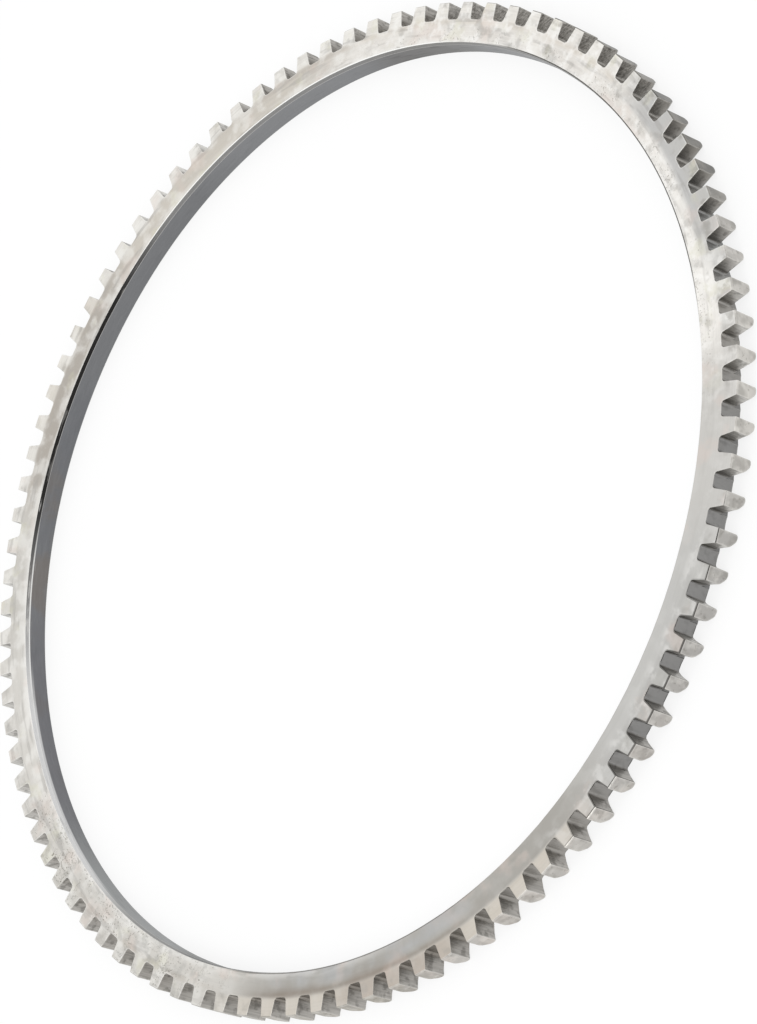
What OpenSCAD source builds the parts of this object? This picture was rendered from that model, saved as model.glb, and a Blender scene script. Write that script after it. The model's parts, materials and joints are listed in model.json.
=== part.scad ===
// Starter ring gear: one steel ring with straight stub teeth around its rim.
// It is shrunk onto the edge of a flywheel, and the starter's pinion slides into its teeth from the rear.
// The ring lies on its rear face, with its axis along +Z and the side that seats on the flywheel up.
// A tooth is centred on +X.

/* [Ring] */
// Diameter over the tooth tips
tip_d = 400; // [390:0.5:440]
// Depth of solid rim left between the bore and the floors of the gaps
rim_w = 9.85; // [4:0.05:30]
// Thickness from the rear face to the front face
ring_t = 10.3; // [8:0.1:16]

/* [Teeth] */
// Number of teeth
tooth_count = 93; // [60:1:110]
// Depth of the gaps, from the tips to their floors
tooth_depth = 7.15; // [5:0.05:9]
// Width of a tooth at half its depth
tooth_w = 6.4; // [4.5:0.05:7.5]
// Lean of each flank from the middle line of its tooth, in degrees
flank_lean = 8.3; // [4:0.1:14]
// Radius of the fillets where the flanks meet the floor of a gap
root_fillet_r = 1.3; // [0.4:0.05:1.6]

/* [Pinion entry bevel] */
// How far the bevel reaches into a tooth across the rear face
entry_w = 2.8; // [0.5:0.1:3]
// How far the bevel runs up the flank from the rear face
entry_h = 3.2; // [0.5:0.1:6]

/* [Turned edges] */
// Depth of the bore's lead-in, measured across the front face
lead_w = 0.5; // [0.2:0.05:1.5]
// Length of the bore's lead-in, measured along the bore
lead_h = 1.8; // [0.4:0.1:3]
// Chamfer on the rear edge of the bore
rear_chamfer = 0.15; // [0.1:0.05:1]
// Chamfer on the front and rear edges of the tooth tips
tip_chamfer = 0.35; // [0.1:0.05:1]

/* [Hidden] */

// Diameter of the bore that grips the flywheel, which leaves the rim its depth under the gaps
bore_d = tip_d - 2 * (tooth_depth + rim_w);

// Radii worked out from the diameters
tip_r = tip_d / 2;
bore_r = bore_d / 2;
root_r = tip_r - tooth_depth;
half_depth_r = tip_r - tooth_depth / 2;

// One tooth and one gap take up this angle
pitch_angle = 360 / tooth_count;

// A gap's walls lean as the flanks do, turned by half a pitch from the tooth's middle line to the gap's
wall_lean = flank_lean + pitch_angle / 2;

// Half the width of a gap at half depth, measured square to its own middle line
gap_half_w = half_depth_r * sin(pitch_angle / 2) - tooth_w / 2 * cos(pitch_angle / 2);

// Distance along the gap's middle line of those two points on its walls
gap_half_r = half_depth_r * cos(pitch_angle / 2) + tooth_w / 2 * sin(pitch_angle / 2);

// Where a wall would meet the floor if the corner were sharp
corner_y = gap_half_w - (gap_half_r - root_r) * tan(wall_lean);

// Distance from that corner to the points where the fillet starts and ends
fillet_reach = root_fillet_r * tan(45 - wall_lean / 2);

// Facets around one fillet's circle, and around the ring
fillet_steps = 24;
ring_steps = 360;

// Cutters run this far past the faces that they cut
overrun = 1;

// The turned blank: a plain ring with chamfered edges and the bore's lead-in
module blank() {
    rotate_extrude($fn = ring_steps)
        polygon([
            [bore_r + rear_chamfer, 0],
            [tip_r - tip_chamfer, 0],
            [tip_r, tip_chamfer],
            [tip_r, ring_t - tip_chamfer],
            [tip_r - tip_chamfer, ring_t],
            [bore_r + lead_w, ring_t],
            [bore_r, ring_t - lead_h],
            [bore_r, rear_chamfer]
        ]);
}

// One half of a gap's outline: the floor, a straight cut across the fillet's corner, and the wall
function half_gap(side) = [
    [root_r, side * (corner_y - fillet_reach)],
    [
        root_r + fillet_reach * cos(wall_lean),
        side * (corner_y + fillet_reach * sin(wall_lean))
    ],
    [
        tip_r + overrun,
        side * (corner_y + (tip_r + overrun - root_r) * tan(wall_lean))
    ]
];

function reversed(points) = [for (i = [len(points) - 1 : -1 : 0]) points[i]];

// The cutter that leaves one gap, with its middle line along +X
module gap_cutter() {
    translate([0, 0, -overrun])
        linear_extrude(ring_t + 2 * overrun) {
            polygon(concat(reversed(half_gap(-1)), half_gap(1)));
            for (side = [-1, 1])
                translate([root_r + root_fillet_r, side * (corner_y - fillet_reach)])
                    circle(root_fillet_r, $fn = fillet_steps);
        }
}

// The cutter that bevels the rear end of one flank, so that the pinion's teeth slide in
module entry_bevel_cutter() {
    translate([root_r, corner_y, 0])
        rotate(wall_lean)
            rotate([90, 0, 90])
                linear_extrude(tooth_depth / cos(wall_lean) + overrun)
                    polygon([
                        [-overrun, entry_h * (1 + overrun / entry_w)],
                        [-overrun, -overrun],
                        [entry_w * (1 + overrun / entry_h), -overrun]
                    ]);
}

// The whole ring: the blank with a gap and a bevel cut at every pitch
module ring_gear() {
    color("silver")
        difference() {
            blank();
            for (tooth = [0 : tooth_count - 1])
                rotate((tooth + 0.5) * pitch_angle) {
                    gap_cutter();
                    entry_bevel_cutter();
                }
        }
}

ring_gear();
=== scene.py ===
# %% [markdown]
# # A starter ring gear
# This steel ring is shrunk onto the rim of a flywheel, and a starter's pinion turns it by its teeth. It was
# turned from one blank, its teeth were then cut in its rim, and use and storage have since worn and stained
# it. The CAD part fixes the size and the place of everything, so the lesson starts by loading it.

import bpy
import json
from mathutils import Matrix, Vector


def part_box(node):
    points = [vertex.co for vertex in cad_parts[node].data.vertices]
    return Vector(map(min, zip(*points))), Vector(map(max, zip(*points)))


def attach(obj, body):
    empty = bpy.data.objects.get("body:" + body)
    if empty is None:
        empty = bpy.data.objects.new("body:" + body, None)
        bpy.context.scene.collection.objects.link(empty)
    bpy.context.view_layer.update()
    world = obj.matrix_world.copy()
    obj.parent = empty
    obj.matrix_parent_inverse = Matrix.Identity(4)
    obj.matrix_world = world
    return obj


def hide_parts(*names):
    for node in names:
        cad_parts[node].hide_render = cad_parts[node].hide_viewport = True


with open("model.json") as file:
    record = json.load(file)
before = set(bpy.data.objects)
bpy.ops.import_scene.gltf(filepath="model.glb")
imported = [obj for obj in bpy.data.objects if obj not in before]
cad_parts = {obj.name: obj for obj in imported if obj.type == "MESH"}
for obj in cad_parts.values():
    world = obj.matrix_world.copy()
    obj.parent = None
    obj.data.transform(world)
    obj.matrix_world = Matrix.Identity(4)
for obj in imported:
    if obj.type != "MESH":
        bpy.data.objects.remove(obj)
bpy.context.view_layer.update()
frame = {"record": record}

# %% [markdown]
# ## The ring's sizes
# The outer radius and the thickness are read from the CAD node, and the bore's radius from the mount in its
# record. A tooth is centred on +X, so the box ends at that tooth's tip. The small sizes of the teeth and of
# the turned edges can't be read from a box, so they are written here in millimetres, as on a drawing.

# %% Read and name the sizes
import json
import math

import bmesh
import bpy
from mathutils import Matrix, Vector

MM = 0.001
ring_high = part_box("ring_gear")[1]
bore_mount = next(m for m in frame["record"]["mounts"] if m["name"] == "bore")
tip_r = ring_high.x
ring_t = ring_high.z
bore_r = bore_mount["dims"]["r_mm"] * MM

tooth_count = 93
tooth_depth = 7.15 * MM
tooth_w = 6.4 * MM
flank_lean = math.radians(8.3)
root_fillet_r = 1.3 * MM
entry_w = 2.8 * MM
entry_h = 3.2 * MM
lead_w = 0.5 * MM
lead_h = 1.8 * MM
rear_chamfer = 0.15 * MM
tip_chamfer = 0.35 * MM
print(f"tips {2 * tip_r / MM:.1f} mm across, bore {2 * bore_r / MM:.1f} mm, thickness {ring_t / MM:.1f} mm")

# %% [markdown]
# ## The outline of one tooth
# All 93 teeth are alike, so one tooth is drawn with half a gap on each side, and the ring is that tooth
# repeated. A gap has a flat floor, a round fillet and a straight wall. The fillet's points come from its
# circle, and the wall ends where it meets the tip circle, so the outline follows if a size changes.

# %% Work out the gap beside the tooth
pitch_angle = 2 * math.pi / tooth_count
wall_lean = flank_lean + pitch_angle / 2
root_r = tip_r - tooth_depth
half_depth_r = tip_r - tooth_depth / 2
gap_half_w = half_depth_r * math.sin(pitch_angle / 2) - tooth_w / 2 * math.cos(pitch_angle / 2)
gap_half_r = half_depth_r * math.cos(pitch_angle / 2) + tooth_w / 2 * math.sin(pitch_angle / 2)
corner_y = gap_half_w - (gap_half_r - root_r) * math.tan(wall_lean)
fillet_reach = root_fillet_r * math.tan(math.pi / 4 - wall_lean / 2)
fillet_steps = 8
bore_steps = 4


def turned(point, angle):
    """The point of a plan, turned about the ring's axis."""
    x, y = point
    return x * math.cos(angle) - y * math.sin(angle), x * math.sin(angle) + y * math.cos(angle)


def wall_end(radius):
    """Where the gap's wall meets a circle about the ring's axis."""
    slope = math.tan(wall_lean)
    start = corner_y - root_r * slope
    square = 1 + slope**2
    x = (-start * slope + math.sqrt(square * radius**2 - start**2)) / square
    return x, start + slope * x


def tooth_outline(tip_radius, bore_radius):
    """The plan of one tooth and its share of the rim, anticlockwise from the middle of a gap."""
    half = [(root_r, 0)]
    for step in range(fillet_steps + 1):
        turn = (math.pi / 2 - wall_lean) * step / fillet_steps
        across = corner_y - fillet_reach + root_fillet_r * math.sin(turn)
        half.append((root_r + root_fillet_r * (1 - math.cos(turn)), across))
    half.append(wall_end(tip_radius))
    half = [turned(point, -pitch_angle / 2) for point in half]
    other_half = [(x, -y) for x, y in reversed(half)]
    steps = [pitch_angle * (0.5 - step / bore_steps) for step in range(bore_steps + 1)]
    return half + other_half + [turned((bore_radius, 0), angle) for angle in steps]


print(f"{len(tooth_outline(tip_r, bore_r))} points in the plan of one tooth")

# %% [markdown]
# ## One tooth as a solid block
# The block could be a plain extrusion, but the lathe left chamfers on the tips and the bore. So the plan is
# drawn at each height where the turned profile changes, and the plans are joined by faces. The chamfer at
# the rear of the tips isn't drawn, because the rounding of the worn tooth ends takes its place further
# down.

# %% Build the block
flat_within = math.radians(0.2)


def turned_radii(z):
    """The radii of the tips and of the bore at a height above the rear face."""
    front = max(0, tip_chamfer - (ring_t - z))
    lead = max(0, z - (ring_t - lead_h)) * lead_w / lead_h
    rear = max(0, rear_chamfer - z)
    return tip_r - front, bore_r + lead + rear


def merge_flat_faces(built):
    """Joins the faces that lie in one plane."""
    built.normal_update()
    bmesh.ops.dissolve_limit(built, angle_limit=flat_within, verts=built.verts, edges=built.edges)


def block_mesh():
    """The tooth and its share of the rim, closed on all sides."""
    heights = [0, rear_chamfer, ring_t - lead_h, ring_t - tip_chamfer, ring_t]
    built = bmesh.new()
    rows = [[built.verts.new((x, y, z)) for x, y in tooth_outline(*turned_radii(z))] for z in heights]
    for lower, upper in zip(rows, rows[1:]):
        for here in range(len(lower)):
            there = (here + 1) % len(lower)
            built.faces.new((lower[here], lower[there], upper[there], upper[here]))
    built.faces.new(reversed(rows[0]))
    built.faces.new(rows[-1])
    merge_flat_faces(built)
    return built


def as_object(name, built):
    """A new object in the scene with the built shape as its mesh."""
    mesh = bpy.data.meshes.new(name)
    built.to_mesh(mesh)
    built.free()
    made = bpy.data.objects.new(name, mesh)
    bpy.context.scene.collection.objects.link(made)
    return made


tooth = as_object("tooth", block_mesh())
print(f"plain block of one tooth: {len(tooth.data.polygons)} faces")

# %% [markdown]
# ## The pinion entry bevel
# At the rear end of one flank the tooth is bevelled, so that the pinion's teeth slide in beside it. A
# Boolean with a wedge takes it off, as a cutter would. The wedge runs a little past the faces that it cuts.

# %% Cut the entry bevel
overrun = 1 * MM


def wedge_mesh():
    """The cutter of the entry bevel, set against the flank that faces clockwise seen from the front."""
    corner = Vector((*turned((root_r, corner_y), -pitch_angle / 2), 0))
    along = Vector((*turned((1, 0), wall_lean - pitch_angle / 2), 0))
    inwards = Vector((-along.y, along.x, 0))
    length = tooth_depth / math.cos(wall_lean) + overrun
    section = [
        (-overrun, entry_h * (1 + overrun / entry_w)),
        (-overrun, -overrun),
        (entry_w * (1 + overrun / entry_h), -overrun),
    ]
    built = bmesh.new()
    ends = [
        [built.verts.new(corner + along * reach + inwards * d + Vector((0, 0, z))) for d, z in section]
        for reach in (0, length)
    ]
    built.faces.new(ends[0])
    built.faces.new(reversed(ends[1]))
    for here in range(len(section)):
        there = (here + 1) % len(section)
        built.faces.new((ends[0][there], ends[0][here], ends[1][here], ends[1][there]))
    bmesh.ops.recalc_face_normals(built, faces=built.faces)
    return built


def finished_mesh(made):
    """The object's mesh with its modifiers applied."""
    depsgraph = bpy.context.evaluated_depsgraph_get()
    return bpy.data.meshes.new_from_object(made.evaluated_get(depsgraph))


wedge = as_object("entry_wedge", wedge_mesh())
cut = tooth.modifiers.new("entry bevel", "BOOLEAN")
cut.operation = "DIFFERENCE"
cut.solver = "EXACT"
cut.object = wedge
cut_mesh = finished_mesh(tooth)
tooth.modifiers.remove(cut)
bpy.data.objects.remove(wedge)
print(f"bevelled block of one tooth: {len(cut_mesh.polygons)} faces")

# %% [markdown]
# ## Four finishes
# Four tools shaped this ring, and each left its own surface: the lathe on the flat faces, the boring bar in
# the bore, the gear cutter in the gaps and a second lathe cut on the tips. Each face of the block gets the
# number of its finish, by which it is given its material later. The two ends, where the neighbours stand,
# are opened.

# %% Number the finishes and open the block's ends
FINISHES = ["face", "bore", "gap", "tip"]
FACE, BORE, GAP, TIP = range(len(FINISHES))
same_angle = 1e-6
# A face lies level, or looks out, where this much of its normal does
lies_level = 0.99
looks_out = 0.6


def finish_of(face):
    """Which tool made this face of the block."""
    centre = face.calc_center_median()
    radius = math.hypot(centre.x, centre.y)
    if abs(face.normal.z) > lies_level:
        return FACE
    if radius < (bore_r + root_r) / 2:
        return BORE
    if radius > half_depth_r and face.normal.x > looks_out:
        return TIP
    return GAP


def at_block_end(face):
    """Whether the face only closes the block where its neighbour will stand."""
    angles = [abs(math.atan2(corner.co.y, corner.co.x)) for corner in face.verts]
    return all(abs(angle - pitch_angle / 2) < same_angle for angle in angles)


block = bmesh.new()
block.from_mesh(cut_mesh)
bmesh.ops.delete(block, geom=[face for face in block.faces if at_block_end(face)], context="FACES")
merge_flat_faces(block)
finish = block.faces.layers.int.new("finish")
rounded = block.faces.layers.int.new("rounded")
edging = block.faces.layers.int.new("edging")
for face in block.faces:
    face[finish] = finish_of(face)
for code, name in enumerate(FINISHES):
    print(name, sum(face[finish] == code for face in block.faces), "faces")

# %% [markdown]
# ## Worn and rounded edges
# The rear ends of the teeth, where the pinion slides in, are worn round, by more than a millimetre on the
# bevel and on the corner across from it. The other edges are only broken by a tenth of a millimetre, since
# no real edge is sharp, and that gives the light a line to catch. A bevel modifier could do it, but here
# each edge has its own radius.

# %% Round the worn ends and break the other edges
entry_edge_r = 1.2 * MM
rear_edge_r = 1.1 * MM
round_steps = 4
edge_r = 0.12 * MM
edge_steps = 2
sharp_from = math.radians(14)
wide_area = 8 * MM**2
looks_sideways = 0.5
entry_tilt = -entry_w / math.hypot(entry_w, entry_h)


def is_wide(face):
    """Whether this is one of the block's large faces."""
    return face.calc_area() > wide_area


def bevel_edges(edges, radius, steps):
    """Rounds edges of the block, and gives back the new faces."""
    made = bmesh.ops.bevel(block, geom=edges, offset=radius, segments=steps, profile=0.5, affect="EDGES")
    return made["faces"]


entry = min(block.faces, key=lambda face: abs(face.normal.z - entry_tilt))
beside = [edge for edge in entry.edges if all(is_wide(face) for face in edge.link_faces)]
worn_ends = [edge for edge in beside if all(face[finish] != TIP for face in edge.link_faces)]
rear = next(face for face in block.faces if face.normal.z < -lies_level)
rear_ends = [
    edge
    for edge in rear.edges
    for face in edge.link_faces
    if face.normal.y > looks_sideways and is_wide(face)
]
print(f"{len(worn_ends) + len(rear_ends)} worn ends")
sharp = [edge for edge in block.edges if edge.calc_face_angle(0) > sharp_from]
bevel_edges(worn_ends, entry_edge_r, round_steps)
bevel_edges(rear_ends, rear_edge_r, round_steps)
land = max((face for face in block.faces if face[finish] == TIP), key=lambda face: face.calc_area())
still_sharp = {edge for edge in sharp if edge.is_valid} | set(land.edges)
for face in bevel_edges([edge for edge in block.edges if edge in still_sharp], edge_r, edge_steps):
    face[rounded] = 1
print(f"{len(block.faces)} faces with all edges rounded")

# %% [markdown]
# ## Wear beside the edges
# Steel is rubbed bright on its edges and for a little way beside them. A thin inset beside each edge
# carries a value called wear, from 1 at the edge to 0, which the materials read. A baked image could hold
# it too, but a value on the corners of faces needs no unwrapping.

# %% Inset the sides and write the wear
wear_w = 0.45 * MM
touching = 0.002 * MM
same_way = 0.98
flank_x, flank_y = math.sin(flank_lean), math.cos(flank_lean)
WORN_SIDES = [(0, 0, 1), (0, 0, -1), (1, 0, 0), (flank_x, flank_y, 0), (flank_x, -flank_y, 0)]


def is_worn_side(face, facing):
    """Whether a wide flat face, outside the bore, faces this way."""
    flat = is_wide(face) and not face[rounded]
    return flat and face[finish] != BORE and face.normal.dot(Vector(facing)) > same_way


for facing in WORN_SIDES:
    side = [face for face in block.faces if is_worn_side(face, facing)]
    inset = bmesh.ops.inset_region(block, faces=side, thickness=wear_w, use_even_offset=True)
    for face in inset["faces"]:
        face[edging] = 1
wear = block.loops.layers.float.new("wear")
for face in block.faces:
    neighbours = [other for edge in face.edges for other in edge.link_faces]
    beside_round = face[edging] and any(other[rounded] for other in neighbours)
    for corner in face.loops:
        at_round = any(other[rounded] for other in corner.vert.link_faces)
        corner[wear] = float(face[rounded] or (beside_round and at_round))
bmesh.ops.remove_doubles(block, verts=block.verts, dist=touching)
block.to_mesh(tooth.data)
block.free()
print(f"finished tooth: {len(tooth.data.polygons)} faces")

# %% [markdown]
# ## Colours and nodes
# Every colour below is written as an sRGB hex value, as a colour picker shows it, and Blender's sockets
# take linear values, so one function turns one into the other. One more function adds a node, sets it and
# links it, and a short form of it does sums.

# %% Three small helpers
def linear(colour):
    """An sRGB hex colour as the linear RGBA that a socket takes."""
    parts = [int(colour[start : start + 2], 16) / 255 for start in (0, 2, 4)]
    return (*(part / 12.92 if part <= 0.04045 else ((part + 0.055) / 1.055) ** 2.4 for part in parts), 1)


def add(tree, kind, sockets=None, **settings):
    """Adds a node. A socket's value is a number or colour to set, or another node's output to link."""
    node = tree.nodes.new(kind)
    for name, value in settings.items():
        setattr(node, name, value)
    for name, value in (sockets or {}).items():
        if isinstance(value, bpy.types.NodeSocket):
            tree.links.new(value, node.inputs[name])
        else:
            node.inputs[name].default_value = value
    return node


def calculate(tree, operation, first, second):
    """A sum, product or the like of two values."""
    return add(tree, "ShaderNodeMath", {0: first, 1: second}, operation=operation).outputs[0]


print("mid grey 808080 is", round(linear("808080")[0], 3), "in linear light")

# %% [markdown]
# ## How the steel is painted
# Bare steel is a metal, so its colour is the colour of its reflections, and its roughness says how blurred
# they are. Each finish starts from one steel and has layers laid over it: a layer is a colour and a mask
# that says where. A mask is noise at a real size in millimetres, a stretch of the ring as an angle about
# its axis, or a range of radius or height. They could be painted on an image, but noise on Object
# coordinates needs no unwrapping. The lathe's marks run round the ring, so one set of coordinates is
# squeezed along its turning direction: it is the direction from the axis, times a radius that is several
# times too small, with the radius and height as its Z.

# %% Measures that the masks read
streak_length = 7


def start_steel(name):
    """A bare steel, its node tree, and the measures of the ring that its masks read."""
    material = bpy.data.materials.new(name)
    material.use_nodes = True
    tree = material.node_tree
    tree.nodes["Principled BSDF"].inputs["Metallic"].default_value = 1
    place = add(tree, "ShaderNodeTexCoord").outputs["Object"]
    flat = add(tree, "ShaderNodeVectorMath", {0: place, 1: (1, 1, 0)}, operation="MULTIPLY").outputs[0]
    outwards = add(tree, "ShaderNodeVectorMath", {0: flat}, operation="NORMALIZE").outputs[0]
    radius = add(tree, "ShaderNodeVectorMath", {0: flat}, operation="LENGTH").outputs["Value"]
    height = add(tree, "ShaderNodeSeparateXYZ", {0: place}).outputs["Z"]
    across = calculate(tree, "ADD", radius, height)
    lifted = add(tree, "ShaderNodeCombineXYZ", {"Z": across}).outputs[0]
    squeezed = {0: outwards, 1: (tip_r / streak_length,) * 3, 2: lifted}
    at = {
        "place": place,
        "outwards": outwards,
        "radius": radius,
        "height": height,
        "across": across,
        "spun": add(tree, "ShaderNodeVectorMath", squeezed, operation="MULTIPLY_ADD").outputs[0],
        "worn": add(tree, "ShaderNodeAttribute", attribute_name="wear").outputs["Fac"],
    }
    return material, tree, at


print("marks of the lathe are", streak_length, "times as long as they are wide")


# %% Masks by place
def ramp(tree, value, low, high):
    """A mask that rises smoothly from 0 at low to 1 at high, or falls where high is the smaller."""
    sockets = {"Value": value, "From Min": low, "From Max": high}
    return add(tree, "ShaderNodeMapRange", sockets, interpolation_type="SMOOTHSTEP").outputs["Result"]


def both(tree, *masks):
    """Where all these masks overlap."""
    overlap = masks[0]
    for mask in masks[1:]:
        overlap = calculate(tree, "MULTIPLY", overlap, mask)
    return overlap


def without(tree, mask):
    """Where a mask is not."""
    return calculate(tree, "SUBTRACT", 1, mask)


def around(tree, at, middle, half, soft):
    """A mask of the stretch of the ring within half degrees of a middle angle, from +X towards +Y."""
    spot = (math.cos(math.radians(middle)), math.sin(math.radians(middle)), 0)
    sockets = {0: at["outwards"], 1: spot}
    towards = add(tree, "ShaderNodeVectorMath", sockets, operation="DOT_PRODUCT").outputs["Value"]
    outer, inner = math.radians(half + soft), math.radians(half - soft)
    return ramp(tree, towards, math.cos(outer), math.cos(inner))


print("one degree of the tip circle is", round(math.radians(1) * tip_r / MM, 1), "mm long")

# %% Masks by noise
askew = [math.radians(turn) for turn in (23, 37, 51)]
aside = (0.3, 0.6, 0.1)


def grain(tree, place, size, longer=(1, 1, 1), detail=4):
    """Noise with grains of this size, drawn out along an axis where longer says so.

    It is laid askew, because noise that lies square to a flat face shows straight edges on it.
    """
    scale = [1 / (size * stretch) for stretch in longer]
    sockets = {"Vector": place, "Scale": scale, "Rotation": askew, "Location": aside}
    laid = add(tree, "ShaderNodeMapping", sockets).outputs[0]
    return add(tree, "ShaderNodeTexNoise", {"Vector": laid, "Scale": 1, "Detail": detail}).outputs[0]


def patches(tree, place, size, low, high, longer=(1, 1, 1), detail=4):
    """A mask of patches: where the noise is high."""
    return ramp(tree, grain(tree, place, size, longer, detail), low, high)


def outlines(tree, place, size, middle, width):
    """A mask of thin curly lines, like the rims of dried drops: where the noise crosses one value."""
    noise = grain(tree, place, size, detail=3)
    return both(tree, ramp(tree, noise, middle - width, middle), ramp(tree, noise, middle + width, middle))


def lines(tree, value, spacing, low, high):
    """A mask of tool marks, as lines where one measure, such as the radius, changes.

    The real marks are one or two tenths of a millimetre apart, too fine to show, so they are drawn coarser.
    """
    sockets = {"W": calculate(tree, "DIVIDE", value, spacing), "Scale": 1, "Detail": 3}
    noise = add(tree, "ShaderNodeTexNoise", sockets, noise_dimensions="1D").outputs[0]
    return ramp(tree, noise, low, high)


print("noise is turned by", [round(math.degrees(turn)) for turn in askew], "degrees")


# %% Layers and the shader
def layer(tree, below, colour, mask, strength):
    """Lays a colour over what is below it, as strongly as the mask and the strength say."""
    below = linear(below) if isinstance(below, str) else below
    sockets = {0: both(tree, mask, strength), 6: below, 7: linear(colour)}
    return add(tree, "ShaderNodeMix", sockets, data_type="RGBA").outputs[2]


def finish_steel(material, colour, marks, depth, rough_mask, roughness):
    """Joins the layers, the tool marks as bump and the roughness to the shader."""
    tree = material.node_tree
    shader = tree.nodes["Principled BSDF"]
    bump = add(tree, "ShaderNodeBump", {"Height": marks, "Strength": 1, "Distance": depth}).outputs[0]
    sockets = {"Value": rough_mask, "To Min": roughness[0], "To Max": roughness[1]}
    rough = add(tree, "ShaderNodeMapRange", sockets).outputs["Result"]
    for name, value in (("Normal", bump), ("Base Color", colour), ("Roughness", rough)):
        tree.links.new(value, shader.inputs[name])
    print(f"{material.name}: {len(tree.nodes)} nodes")


# %% [markdown]
# ## Finish 1: the turned faces
# A lathe faced the blank, so very fine rings run round the face. Since then it has been stacked, handled
# and stained. Each stretch round the ring has its own tone. The tones are partly stains and partly painted
# sheen, because the lathe's fine rings catch the light differently at each angle round the ring: a pale
# film at the top, a browner rim at the left, and a satin, greyer stretch at the lower right, which is
# painted sheen. Over these lie chalky blooms, pale flakes and grey smudges at the upper right, smears,
# faint pink and yellow stains, the rims of dried drops and small pits, each as a mask of its own.

# %% Tones of the turned face
# Each tone has a part of the face, then the middle, half width and softness of its stretch in degrees.
# The tones are partly stains and partly painted sheen of the lathe's rings, which catch the light
# differently round the ring.
FACE_TONES = [
    ("all", 56, 50, 8, "E3DFD9"),
    ("teeth", 120, 76, 12, "E2DFD9"),
    ("rim", 27, 13, 6, "ECE9E4"),
    ("roots", 80, 38, 10, "D7D1C8"),
    ("outside", 37, 12, 5, "B8B8B7"),
    ("teeth", 28, 14, 6, "BDBCB9"),
    ("rim", 142, 37, 8, "CAC4BA"),
    ("roots", 112, 8, 5, "BDB7AF"),
    ("rim", 161, 14, 6, "ABA59D"),
    ("teeth", 158, 8, 4, "D6D1C8"),
    ("all", 203, 22, 9, "D5D2CC"),
    ("rim", 187, 7, 5, "C6C3BD"),
    ("all", 246, 25, 8, "CFCCC6"),
    ("roots", 246, 13, 6, "C0BBB3"),
    ("rim", 295, 28, 7, "A29F99"),
    ("roots", 285, 15, 5, "968F86"),
    ("teeth", 292, 28, 6, "CAC3B8"),
    ("teeth", 291, 8, 4, "B3AAA0"),
    ("teeth", 337, 9, 4, "B0AFAB"),
    ("roots", 337, 10, 5, "B1B0AD"),
    ("all", 3, 8, 5, "C4C2BE"),
]
tone_strength = 0.9
face_steel, tree, at = start_steel("turned steel face")
rim = ramp(tree, at["radius"], root_r + 1.5 * MM, root_r - 1 * MM)
outside = ramp(tree, at["radius"], bore_r + 4 * MM, bore_r + 8 * MM)
roots = both(tree, ramp(tree, at["radius"], root_r - 3 * MM, root_r - 1 * MM), rim)
parts = {"all": 1, "rim": rim, "teeth": without(tree, rim), "outside": outside, "roots": roots}
colour = "BDBCB9"
for part, middle, half, soft, tone in FACE_TONES:
    stretch = both(tree, around(tree, at, middle, half, soft), parts[part])
    colour = layer(tree, colour, tone, stretch, tone_strength)
print(len(FACE_TONES), "tones on the turned face")

# %% Stretches of the turned face
# Painted sheen: the satin stretch at the lower right, and most stains are kept out of it.
satin_sheen_stretch = around(tree, at, 315, 55, 10)
dull = without(tree, satin_sheen_stretch)
flaky = around(tree, at, 55, 42, 12)
blue_part = both(tree, around(tree, at, 37, 12, 5), outside)
lower_left = around(tree, at, 241, 22, 8)
brown_part = around(tree, at, 286, 16, 6)
# Painted shade: in this stretch a dark line runs along the front edges of the gaps, where the edge falls
# into shadow.
edge_shade_stretch = around(tree, at, 332, 14, 5)
by_bore = ramp(tree, at["radius"], bore_r + 4 * MM, bore_r + 1 * MM)
bore_edge = ramp(tree, at["radius"], bore_r + 2 * MM, bore_r + 1.2 * MM)
inner = ramp(tree, at["radius"], bore_r + 8 * MM, bore_r + 5 * MM)
edge_line = ramp(tree, at["worn"], 0.05, 0.4)
print(len(tree.nodes), "nodes in the steel of the face so far")

# %% Stains and wear of the turned face
turning = lines(tree, at["radius"], 0.7 * MM, 0.35, 0.7)
streaks = patches(tree, at["spun"], 2.4 * MM, 0.42, 0.66)
smears = patches(tree, at["spun"], 3.5 * MM, 0.54, 0.66)
chalk = patches(tree, at["spun"], 3 * MM, 0.4, 0.55)
bloom = patches(tree, at["place"], 8 * MM, 0.44, 0.64)
pink = patches(tree, at["place"], 14 * MM, 0.54, 0.68)
yellow = patches(tree, at["place"], 11 * MM, 0.56, 0.68)
blotches = patches(tree, at["place"], 5 * MM, 0.52, 0.68)
scuffs = patches(tree, at["place"], 5 * MM, 0.46, 0.66)
flakes = patches(tree, at["place"], 4 * MM, 0.47, 0.68, detail=8)
smudges = patches(tree, at["place"], 6 * MM, 0.52, 0.7, detail=6)
clouds = patches(tree, at["place"], 20 * MM, 0.42, 0.62)
pits = patches(tree, at["place"], 0.8 * MM, 0.6, 0.66, detail=2)
specks = both(tree, pits, patches(tree, at["place"], 9 * MM, 0.46, 0.6))
curls = outlines(tree, at["place"], 2.4 * MM, 0.58, 0.03)
drops = both(tree, curls, patches(tree, at["place"], 10 * MM, 0.45, 0.6))
edges = both(tree, at["worn"], patches(tree, at["place"], 2 * MM, 0.35, 0.6))

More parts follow.
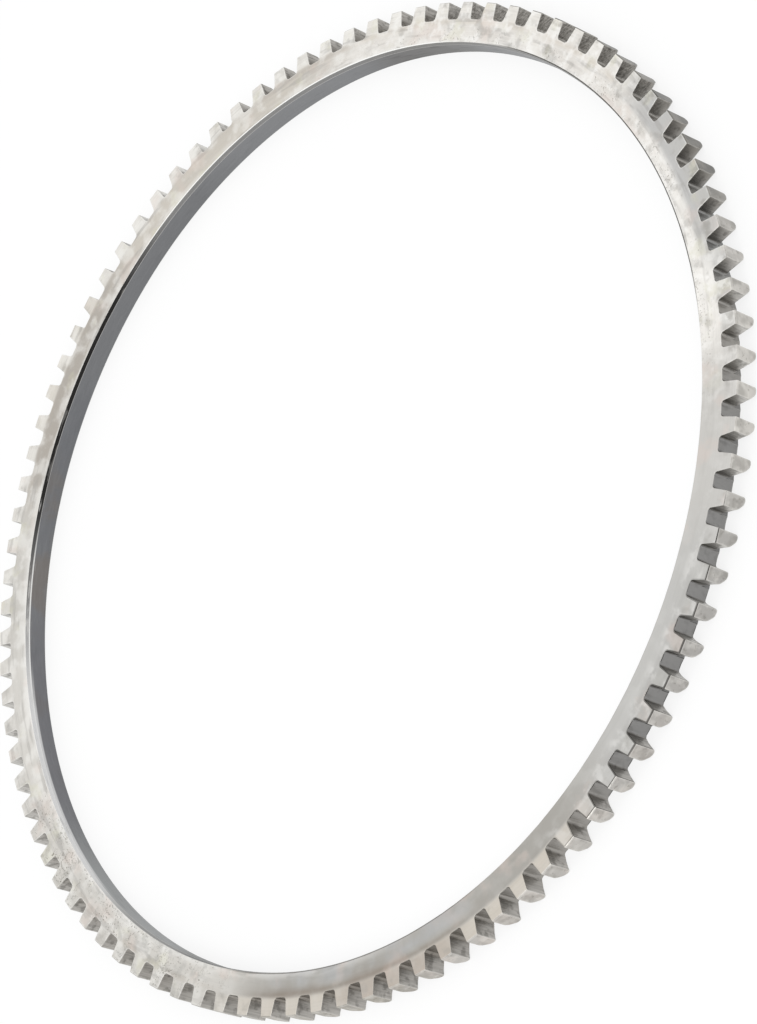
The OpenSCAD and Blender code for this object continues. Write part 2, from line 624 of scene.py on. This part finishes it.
for tone, mask, strength in [
    ("A9A7A3", turning, 0.1),
    ("AFADA9", both(tree, streaks, dull), 0.15),
    ("EFEEEA", both(tree, bloom, dull, without(tree, blue_part)), 0.45),
    ("DDDCD9", both(tree, bloom, satin_sheen_stretch), 0.12),
    ("ECEBE8", both(tree, by_bore, chalk, without(tree, around(tree, at, 335, 45, 10))), 0.4),
    ("A5A3A0", both(tree, smears, dull), 0.4),
    ("D9C6BC", pink, 0.25),
    ("CFCDB4", both(tree, yellow, dull), 0.3),
    ("A3A29D", both(tree, blotches, lower_left), 0.4),
    ("E4E3E0", both(tree, scuffs, outside, around(tree, at, 337, 20, 7)), 0.4),
    ("F4F3F0", both(tree, flakes, flaky, without(tree, blue_part)), 0.55),
    ("98958F", both(tree, smudges, flaky), 0.45),
    ("98958F", both(tree, smudges, without(tree, rim)), 0.35),
    ("8F847A", both(tree, clouds, brown_part, rim, outside), 0.4),
    ("B4B6B8", both(tree, without(tree, clouds), brown_part, inner), 0.5),
    ("86837A", both(tree, drops, lower_left), 0.6),
    ("97958F", both(tree, drops, around(tree, at, 60, 45, 14), by_bore), 0.5),
    ("6A645A", both(tree, specks, lower_left), 0.7),
    ("79746B", both(tree, specks, flaky, inner), 0.5),
    ("F2F1EE", both(tree, edges, dull), 0.4),
    # Painted shade: the dark line along the gaps' front edges.
    ("34312E", both(tree, edge_line, edge_shade_stretch, without(tree, rim)), 0.75),
    # Painted highlight: a bright line along the face's edge at the bore, over this stretch.
    ("FAFAF8", both(tree, edge_line, bore_edge, around(tree, at, 113, 28, 5)), 0.9),
    ("3A3834", both(tree, edge_line, bore_edge, around(tree, at, 47, 26, 5)), 0.9),
    ("4A4742", both(tree, edge_line, bore_edge, around(tree, at, 284, 19, 4)), 0.6),
]:
    colour = layer(tree, colour, tone, mask, strength)
finish_steel(face_steel, colour, turning, 0.01 * MM, smears, (0.36, 0.5))

# %% [markdown]
# ## Finish 2: the bore
# A boring bar left fine lines round the bore. Its steel is a little blue, and it is painted darker than the
# face's steel, as painted shade for the darker surroundings that the upright wall of the bore reflects. The
# lead-in at its front edge took dirt along one stretch and was scraped bright along another.

# %% Bored steel
bore_steel, tree, at = start_steel("bored steel")
lead_start = ring_t - lead_h
lead_in = ramp(tree, at["height"], lead_start, lead_start + 0.1 * MM)
from_below = ramp(tree, at["height"], lead_start - 0.5 * MM, lead_start - 0.1 * MM)
from_above = ramp(tree, at["height"], lead_start + 0.5 * MM, lead_start + 0.1 * MM)
lead_line = both(tree, from_below, from_above)
scraped = ramp(tree, at["height"], ring_t - 3.6 * MM, ring_t - 2.8 * MM)
near_front = ramp(tree, at["height"], ring_t - 4 * MM, ring_t)
boring = lines(tree, at["height"], 0.6 * MM, 0.3, 0.7)
streaks = patches(tree, at["spun"], 1.2 * MM, 0.45, 0.65)
scuffs = patches(tree, at["spun"], 1.5 * MM, 0.56, 0.66)
clouds = patches(tree, at["place"], 16 * MM, 0.42, 0.62)

# Painted shade: the bore's base colour is darker than the face's steel.
colour = "7B7C7E"
for tone, mask, strength in [
    ("949696", around(tree, at, 249, 21, 10), 0.9),
    ("66635F", around(tree, at, 89, 7, 5), 0.6),
    ("909193", around(tree, at, 112, 12, 8), 0.6),
    ("6C6E72", around(tree, at, 172, 9, 6), 0.5),
    ("7B746D", both(tree, clouds, around(tree, at, 192, 18, 10)), 0.6),
    ("707074", around(tree, at, 208, 14, 6), 0.6),
    ("5A5A58", around(tree, at, 262, 8, 5), 0.9),
    ("5F6165", boring, 0.08),
    ("9A9B9D", streaks, 0.08),
    ("8F8E8C", both(tree, lead_in, without(tree, around(tree, at, 264, 8, 5))), 0.7),
    ("1F1E1D", both(tree, lead_in, around(tree, at, 162, 20, 8)), 0.95),
    ("D3D3D2", both(tree, lead_in, around(tree, at, 217, 20, 9)), 0.95),
    ("F2F2F0", both(tree, lead_line, around(tree, at, 197, 14, 5)), 0.85),
    ("D6D6D6", both(tree, scraped, around(tree, at, 218, 16, 5)), 0.8),
    ("A9A7A3", both(tree, scuffs, lead_in), 0.3),
    ("E4E3E0", both(tree, scuffs, near_front, around(tree, at, 186, 9, 4)), 0.5),
    ("EFEDE9", at["worn"], 0.35),
]:
    colour = layer(tree, colour, tone, mask, strength)
finish_steel(bore_steel, colour, boring, 0.01 * MM, scuffs, (0.4, 0.5))

# %% [markdown]
# ## Finish 3: the cut gaps
# The gear cutter moved along the ring's axis, so its marks run along the flanks and the floors from front
# to rear, and at the upper right a second pass crossed them at a slant. The gaps keep the cutter's oil and
# dirt. Their steel is painted darker deep in the gaps, in the fillets and at the front of the roots, as
# painted shade in the recesses between the teeth, and towards the tips the flanks are painted lighter. The
# slanted marks need coordinates of their own, along and across the slant, which move on from tooth to
# tooth.

# %% Places in the gaps
gap_steel, tree, at = start_steel("cut steel gap")
tooth_shift = 0.3
downhill = calculate(tree, "SUBTRACT", at["radius"], at["height"])
slanted = add(tree, "ShaderNodeCombineXYZ", {"X": at["across"], "Y": downhill}).outputs[0]
tooth_by_tooth = {0: at["outwards"], 1: (tooth_shift, tooth_shift, 0), 2: slanted}
slant = add(tree, "ShaderNodeVectorMath", tooth_by_tooth, operation="MULTIPLY_ADD").outputs[0]
deep = ramp(tree, at["radius"], tip_r - 1 * MM, root_r + 0.5 * MM)
shallow = without(tree, deep)
floors = ramp(tree, at["radius"], root_r + 0.7 * MM, root_r + 0.2 * MM)
flanks = without(tree, floors)
foot = ramp(tree, at["radius"], root_r + 1.6 * MM, root_r + 1 * MM)
fillets = both(tree, ramp(tree, at["radius"], root_r + 0.1 * MM, root_r + 0.5 * MM), foot)
front_corner = ramp(tree, downhill, root_r - ring_t + 5 * MM, root_r - ring_t + 1 * MM)
front_foot = ramp(tree, downhill, tip_r - 3 * MM, root_r - ring_t + 2 * MM)
smooth_part = around(tree, at, 40, 16, 8)
streaky = both(tree, flanks, without(tree, smooth_part))
crossed = both(tree, flanks, around(tree, at, 66, 18, 8))
# Painted shade: in this stretch a dark line runs along the front edges of the gaps, where the edge falls
# into shadow.
edge_shade_stretch = around(tree, at, 332, 14, 5)
print(len(tree.nodes), "nodes in the steel of the gaps so far")

# %% Cut steel in the gaps
cutter = patches(tree, at["place"], 0.7 * MM, 0.38, 0.66, longer=(1, 1, 12), detail=3)
scores = patches(tree, at["place"], 0.5 * MM, 0.6, 0.68, longer=(1, 1, 14), detail=2)
gouges = patches(tree, at["place"], 1.3 * MM, 0.52, 0.6, longer=(1, 1, 8), detail=2)
light_crossing = patches(tree, slant, 0.5 * MM, 0.5, 0.6, longer=(1, 7, 1), detail=2)
dark_crossing = patches(tree, slant, 0.8 * MM, 0.55, 0.63, longer=(1, 7, 1), detail=2)
grit = patches(tree, at["place"], 0.8 * MM, 0.52, 0.6, detail=5)
oil = patches(tree, at["place"], 3 * MM, 0.5, 0.65)
edge_line = ramp(tree, at["worn"], 0.05, 0.4)

# Painted shade: the steel is darker deep in the gaps and lighter towards the tips.
colour = layer(tree, "B4B1AC", "A19E99", deep, 0.8)
for tone, mask, strength in [
    # Painted shade: the flanks are dark at the front of their roots.
    ("555555", both(tree, smooth_part, flanks, front_foot), 0.7),
    ("B5B1AA", both(tree, around(tree, at, 60, 20, 8), flanks, deep), 0.35),
    ("77736C", both(tree, around(tree, at, 54, 24, 8), flanks, shallow), 0.6),
    ("76716A", both(tree, around(tree, at, 105, 20, 8), flanks, deep), 0.8),
    ("BDBAB5", both(tree, around(tree, at, 3, 18, 8), flanks, without(tree, front_corner)), 0.35),
    ("E6E4DF", both(tree, around(tree, at, 131, 8, 5), shallow), 0.9),
    ("E0DED9", both(tree, around(tree, at, 192, 26, 14), shallow), 0.8),
    ("AFAAA3", both(tree, deep, around(tree, at, 250, 32, 10)), 0.5),
    ("DAD8D3", both(tree, around(tree, at, 0, 20, 8), shallow), 0.9),
    ("8F8A82", both(tree, around(tree, at, 249, 7, 5), flanks, shallow), 0.3),
    ("A09D98", floors, 0.6),
    ("7F8082", both(tree, floors, around(tree, at, 346, 22, 7)), 0.6),
    ("7D756B", both(tree, foot, around(tree, at, 284, 18, 6)), 0.5),
    # Painted shade: the fillets are darker.
    ("6E6B67", both(tree, fillets, around(tree, at, 0, 34, 8)), 0.35),
    ("80868A", both(tree, floors, around(tree, at, 27, 6, 4)), 0.4),
    ("5E5B56", both(tree, cutter, streaky), 0.3),
    ("45423E", both(tree, oil, flanks), 0.3),
    ("C3C1BC", both(tree, scores, streaky), 0.4),
    ("3B3935", both(tree, scores, deep, streaky), 0.6),
    ("23211F", both(tree, gouges, deep, flanks, around(tree, at, 355, 30, 12)), 0.35),
    ("3A3630", both(tree, gouges, flanks, around(tree, at, 101, 14, 8)), 0.45),
    ("CFCCC6", both(tree, light_crossing, crossed), 0.3),
    ("3A3733", both(tree, grit, crossed), 0.35),
    ("2E2B28", both(tree, dark_crossing, crossed), 0.4),
    ("DAD8D3", both(tree, at["worn"], without(tree, edge_shade_stretch)), 0.4),
    # Painted shade: the dark line along the gaps' front edges.
    ("34312E", both(tree, edge_line, edge_shade_stretch), 0.75),
]:
    colour = layer(tree, colour, tone, mask, strength)
finish_steel(gap_steel, colour, cutter, 0.03 * MM, oil, (0.38, 0.55))

# %% [markdown]
# ## Finish 4: the tips
# The tips are what is left of the blank's turned edge. They are nearly as light as the face, with a few
# knocks and a darker stain at the upper right. Along one stretch the thin chamfer on their front edge is
# painted as a dark line, a painted reflection of dark surroundings.

# %% Turned steel tip
tip_steel, tree, at = start_steel("turned steel tip")
turning = lines(tree, at["height"], 0.8 * MM, 0.35, 0.7)
knocks = patches(tree, at["place"], 1.6 * MM, 0.58, 0.7)
clouds = patches(tree, at["place"], 12 * MM, 0.42, 0.6)
dim = patches(tree, at["place"], 7 * MM, 0.46, 0.6, detail=2)
pale = patches(tree, at["place"], 4 * MM, 0.45, 0.68, detail=3)
chamfer = ramp(tree, at["height"], ring_t - tip_chamfer, ring_t - 0.7 * tip_chamfer)
stained = around(tree, at, 52, 20, 9)

colour = "BFBCB7"
for tone, mask, strength in [
    ("D2CFC9", around(tree, at, 6, 12, 5), 0.8),
    ("77746F", stained, 0.85),
    ("5C5C5A", both(tree, clouds, around(tree, at, 50, 19, 8)), 0.7),
    ("A8A6A3", around(tree, at, 341, 16, 6), 0.7),
    ("9A9486", around(tree, at, 279, 13, 6), 0.7),
    ("D6CDC5", both(tree, clouds, around(tree, at, 305, 25, 10)), 0.5),
    ("8F8C86", dim, 0.45),
    ("E6E3DD", both(tree, pale, without(tree, stained)), 0.35),
    ("A6A39D", turning, 0.12),
    ("7D7972", knocks, 0.35),
    ("E3E1DC", both(tree, at["worn"], without(tree, stained)), 0.35),
    # Painted reflection: the chamfer on the tips' front edge is dark in this stretch.
    ("2A2826", both(tree, chamfer, around(tree, at, 341, 14, 4)), 0.9),
]:
    colour = layer(tree, colour, tone, mask, strength)
finish_steel(tip_steel, colour, turning, 0.01 * MM, knocks, (0.38, 0.5))

# %% [markdown]
# ## The ring from one tooth
# The ring is the finished tooth, repeated and turned by one pitch each time, which Geometry Nodes do with a
# point for each tooth. The copies are realised and joined along their seams, so the ring is one closed
# skin. A little seeded noise knocks the worn edges in by hundredths of a millimetre, and each finish then
# gets its material.

# %% Build the node tree that repeats the tooth
ring_tree = bpy.data.node_groups.new("ring of teeth", "GeometryNodeTree")
INPUTS = {
    "Tooth": ("NodeSocketObject", tooth),
    "Teeth": ("NodeSocketInt", tooth_count),
    "Nick depth": ("NodeSocketFloat", 0.08 * MM),
    "Nick size": ("NodeSocketFloat", 1.5 * MM),
    "Seed": ("NodeSocketInt", 7),
    "Steel of face": ("NodeSocketMaterial", face_steel),
    "Steel of bore": ("NodeSocketMaterial", bore_steel),
    "Steel of gap": ("NodeSocketMaterial", gap_steel),
    "Steel of tip": ("NodeSocketMaterial", tip_steel),
}
identifiers = {}
for name, (kind, _) in INPUTS.items():
    identifiers[name] = ring_tree.interface.new_socket(name, in_out="INPUT", socket_type=kind).identifier
ring_tree.interface.new_socket("Ring", in_out="OUTPUT", socket_type="NodeSocketGeometry")
given = add(ring_tree, "NodeGroupInput").outputs

index = add(ring_tree, "GeometryNodeInputIndex").outputs[0]
pitch = calculate(ring_tree, "DIVIDE", 2 * math.pi, given["Teeth"])
rotation = add(ring_tree, "ShaderNodeCombineXYZ", {"Z": calculate(ring_tree, "MULTIPLY", index, pitch)})
points = add(ring_tree, "GeometryNodePoints", {"Count": given["Teeth"]}).outputs[0]
one = add(ring_tree, "GeometryNodeObjectInfo", {"Object": given["Tooth"]}).outputs["Geometry"]
repeated = {"Points": points, "Instance": one, "Rotation": rotation.outputs[0]}
copies = add(ring_tree, "GeometryNodeInstanceOnPoints", repeated).outputs[0]
whole = add(ring_tree, "GeometryNodeRealizeInstances", {"Geometry": copies}).outputs[0]
seams = {"Geometry": whole, "Distance": touching}
skin = add(ring_tree, "GeometryNodeMergeByDistance", seams).outputs[0]
print("inputs of the tree:", ", ".join(INPUTS))

# %% Nick the edges and give each finish its steel
worn = add(ring_tree, "GeometryNodeInputNamedAttribute", {"Name": "wear"}, data_type="FLOAT").outputs[0]
fineness = calculate(ring_tree, "DIVIDE", 1, given["Nick size"])
seeded = {"W": given["Seed"], "Scale": fineness}
noise = add(ring_tree, "ShaderNodeTexNoise", seeded, noise_dimensions="4D").outputs[0]
push = both(ring_tree, ramp(ring_tree, noise, 0.5, 0.7), worn, given["Nick depth"])
inwards = calculate(ring_tree, "MULTIPLY", push, -1)
normal = add(ring_tree, "GeometryNodeInputNormal").outputs[0]
shift = add(ring_tree, "ShaderNodeVectorMath", {0: normal, "Scale": inwards}, operation="SCALE").outputs[0]
skin = add(ring_tree, "GeometryNodeSetPosition", {"Geometry": skin, "Offset": shift}).outputs[0]
skin = add(ring_tree, "GeometryNodeSetShadeSmooth", {0: skin}).outputs[0]
number = add(ring_tree, "GeometryNodeInputNamedAttribute", {"Name": "finish"}, data_type="INT").outputs[0]
for code, name in enumerate(FINISHES):
    here = add(ring_tree, "FunctionNodeCompare", {2: number, 3: code}, data_type="INT", operation="EQUAL")
    steel = {"Geometry": skin, "Selection": here.outputs[0], "Material": given[f"Steel of {name}"]}
    skin = add(ring_tree, "GeometryNodeSetMaterial", steel).outputs[0]
add(ring_tree, "NodeGroupOutput", {0: skin})
print("the tree of the ring has", len(ring_tree.nodes), "nodes")

# %% Run the tree and keep the ring as a plain mesh
maker = bpy.data.objects.new("ring_maker", bpy.data.meshes.new("ring_maker"))
bpy.context.scene.collection.objects.link(maker)
repeat = maker.modifiers.new("ring of teeth", "NODES")
repeat.node_group = ring_tree
for name, (_, value) in INPUTS.items():
    repeat[identifiers[name]] = value
smooth = maker.modifiers.new("flat faces stay flat", "WEIGHTED_NORMAL")
smooth.keep_sharp = False
ring = bpy.data.objects.new("ring_gear_steel", finished_mesh(maker))
# The first slot is the empty one that the faces had before they got their steel.
ring.data.materials.pop(index=0)
bpy.context.scene.collection.objects.link(ring)
for scrap in (maker, tooth):
    bpy.data.objects.remove(scrap)
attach(ring, "root")
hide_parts("ring_gear")
ring.data.calc_loop_triangles()
print(f"{ring.name}: {len(ring.data.loop_triangles)} triangles, {len(ring.data.materials)} materials")

# %% [markdown]
# ## Floor, light and camera
# The ring lies on a plain pale floor in an even, white studio. The floor is white to the camera and in the
# steel's reflections, and a share of plain diffuse paint in it keeps the ring's soft shadow. The world is a
# little brighter overhead than at the horizon, and one broad lamp gives the light a direction.

# %% A plain pale floor
floor_size = 40
floor_gap = 0.1 * MM
white_share = 0.8
floor_mesh = bmesh.new()
bmesh.ops.create_grid(floor_mesh, x_segments=1, y_segments=1, size=floor_size / 2)
floor = as_object("floor", floor_mesh)
floor.location.z = -floor_gap
paint = bpy.data.materials.new("white studio floor paint")
paint.use_nodes = True
tree = paint.node_tree
tree.nodes.remove(tree.nodes["Principled BSDF"])
rays = add(tree, "ShaderNodeLightPath").outputs
mirrored = calculate(tree, "MAXIMUM", rays["Is Glossy Ray"], rays["Is Transmission Ray"])
seen = calculate(tree, "MAXIMUM", rays["Is Camera Ray"], mirrored)
matt = add(tree, "ShaderNodeBsdfDiffuse", {"Color": linear("EDEDED")}).outputs[0]
white = add(tree, "ShaderNodeEmission", {"Strength": 1}).outputs[0]
mixed = {0: both(tree, seen, white_share), 1: matt, 2: white}
surface = add(tree, "ShaderNodeMixShader", mixed).outputs[0]
tree.links.new(surface, tree.nodes["Material Output"].inputs["Surface"])
floor.data.materials.append(paint)
print("floor", floor_size, "m square")

# %% Soft light
horizon_strength = 0.87
overhead_strength = 1.16
overhead_from = 0.8
world = bpy.data.worlds.new("white studio")
bpy.context.scene.world = world
world.use_nodes = True
tree = world.node_tree
background = tree.nodes["Background"].inputs
background["Color"].default_value = (1, 1, 1, 1)
direction = add(tree, "ShaderNodeTexCoord").outputs["Generated"]
up = add(tree, "ShaderNodeSeparateXYZ", {0: direction}).outputs["Z"]
rise = {"Value": up, "From Max": overhead_from, "To Min": horizon_strength, "To Max": overhead_strength}
tree.links.new(add(tree, "ShaderNodeMapRange", rise).outputs["Result"], background["Strength"])
bpy.context.scene.view_settings.view_transform = "Standard"
print("sky from", horizon_strength, "at the horizon to", overhead_strength, "overhead")

# %% Broad lamp
lamp_size = 1.2
lamp_watts = 8
lamp_place = Vector((0.9, -0.9, 1.4))
lamp = bpy.data.objects.new("broad_lamp", bpy.data.lights.new("broad_lamp", "AREA"))
lamp.data.shape = "DISK"
lamp.data.size = lamp_size
lamp.data.energy = lamp_watts
lamp.location = lamp_place
lamp.rotation_euler = (-lamp_place).to_track_quat("-Z", "Y").to_euler()
bpy.context.scene.collection.objects.link(lamp)
print("lamp", lamp_watts, "W,", round(lamp_place.length, 2), "m away")

# %% [markdown]
# The camera looks down on the ring from the side, and it is rolled, so that the ring stands upright in the
# picture. Its place is written as an aim point on the front face, a distance and three angles. Its long
# lens keeps the ring's far and near sides nearly the same size.

# %% Camera
aim = Vector((23.25 * MM, -6.93 * MM, ring_t))
distance = 1644.8 * MM
azimuth = math.radians(-17.368)
elevation = math.radians(40.948)
roll = math.radians(69.794)
level_reach = math.cos(elevation)
back = Vector((level_reach * math.cos(azimuth), level_reach * math.sin(azimuth), math.sin(elevation)))
camera = bpy.data.objects.new("camera", bpy.data.cameras.new("camera"))
bpy.context.scene.collection.objects.link(camera)
camera.data.sensor_width = 36
camera.data.lens = 153.18
level = (-back).to_track_quat("-Z", "Y")
camera.rotation_mode = "QUATERNION"
camera.rotation_quaternion = level @ Matrix.Rotation(-roll, 3, "Z").to_quaternion()
camera.location = aim + back * distance
bpy.context.scene.camera = camera
print("camera at", [round(x, 3) for x in camera.location])
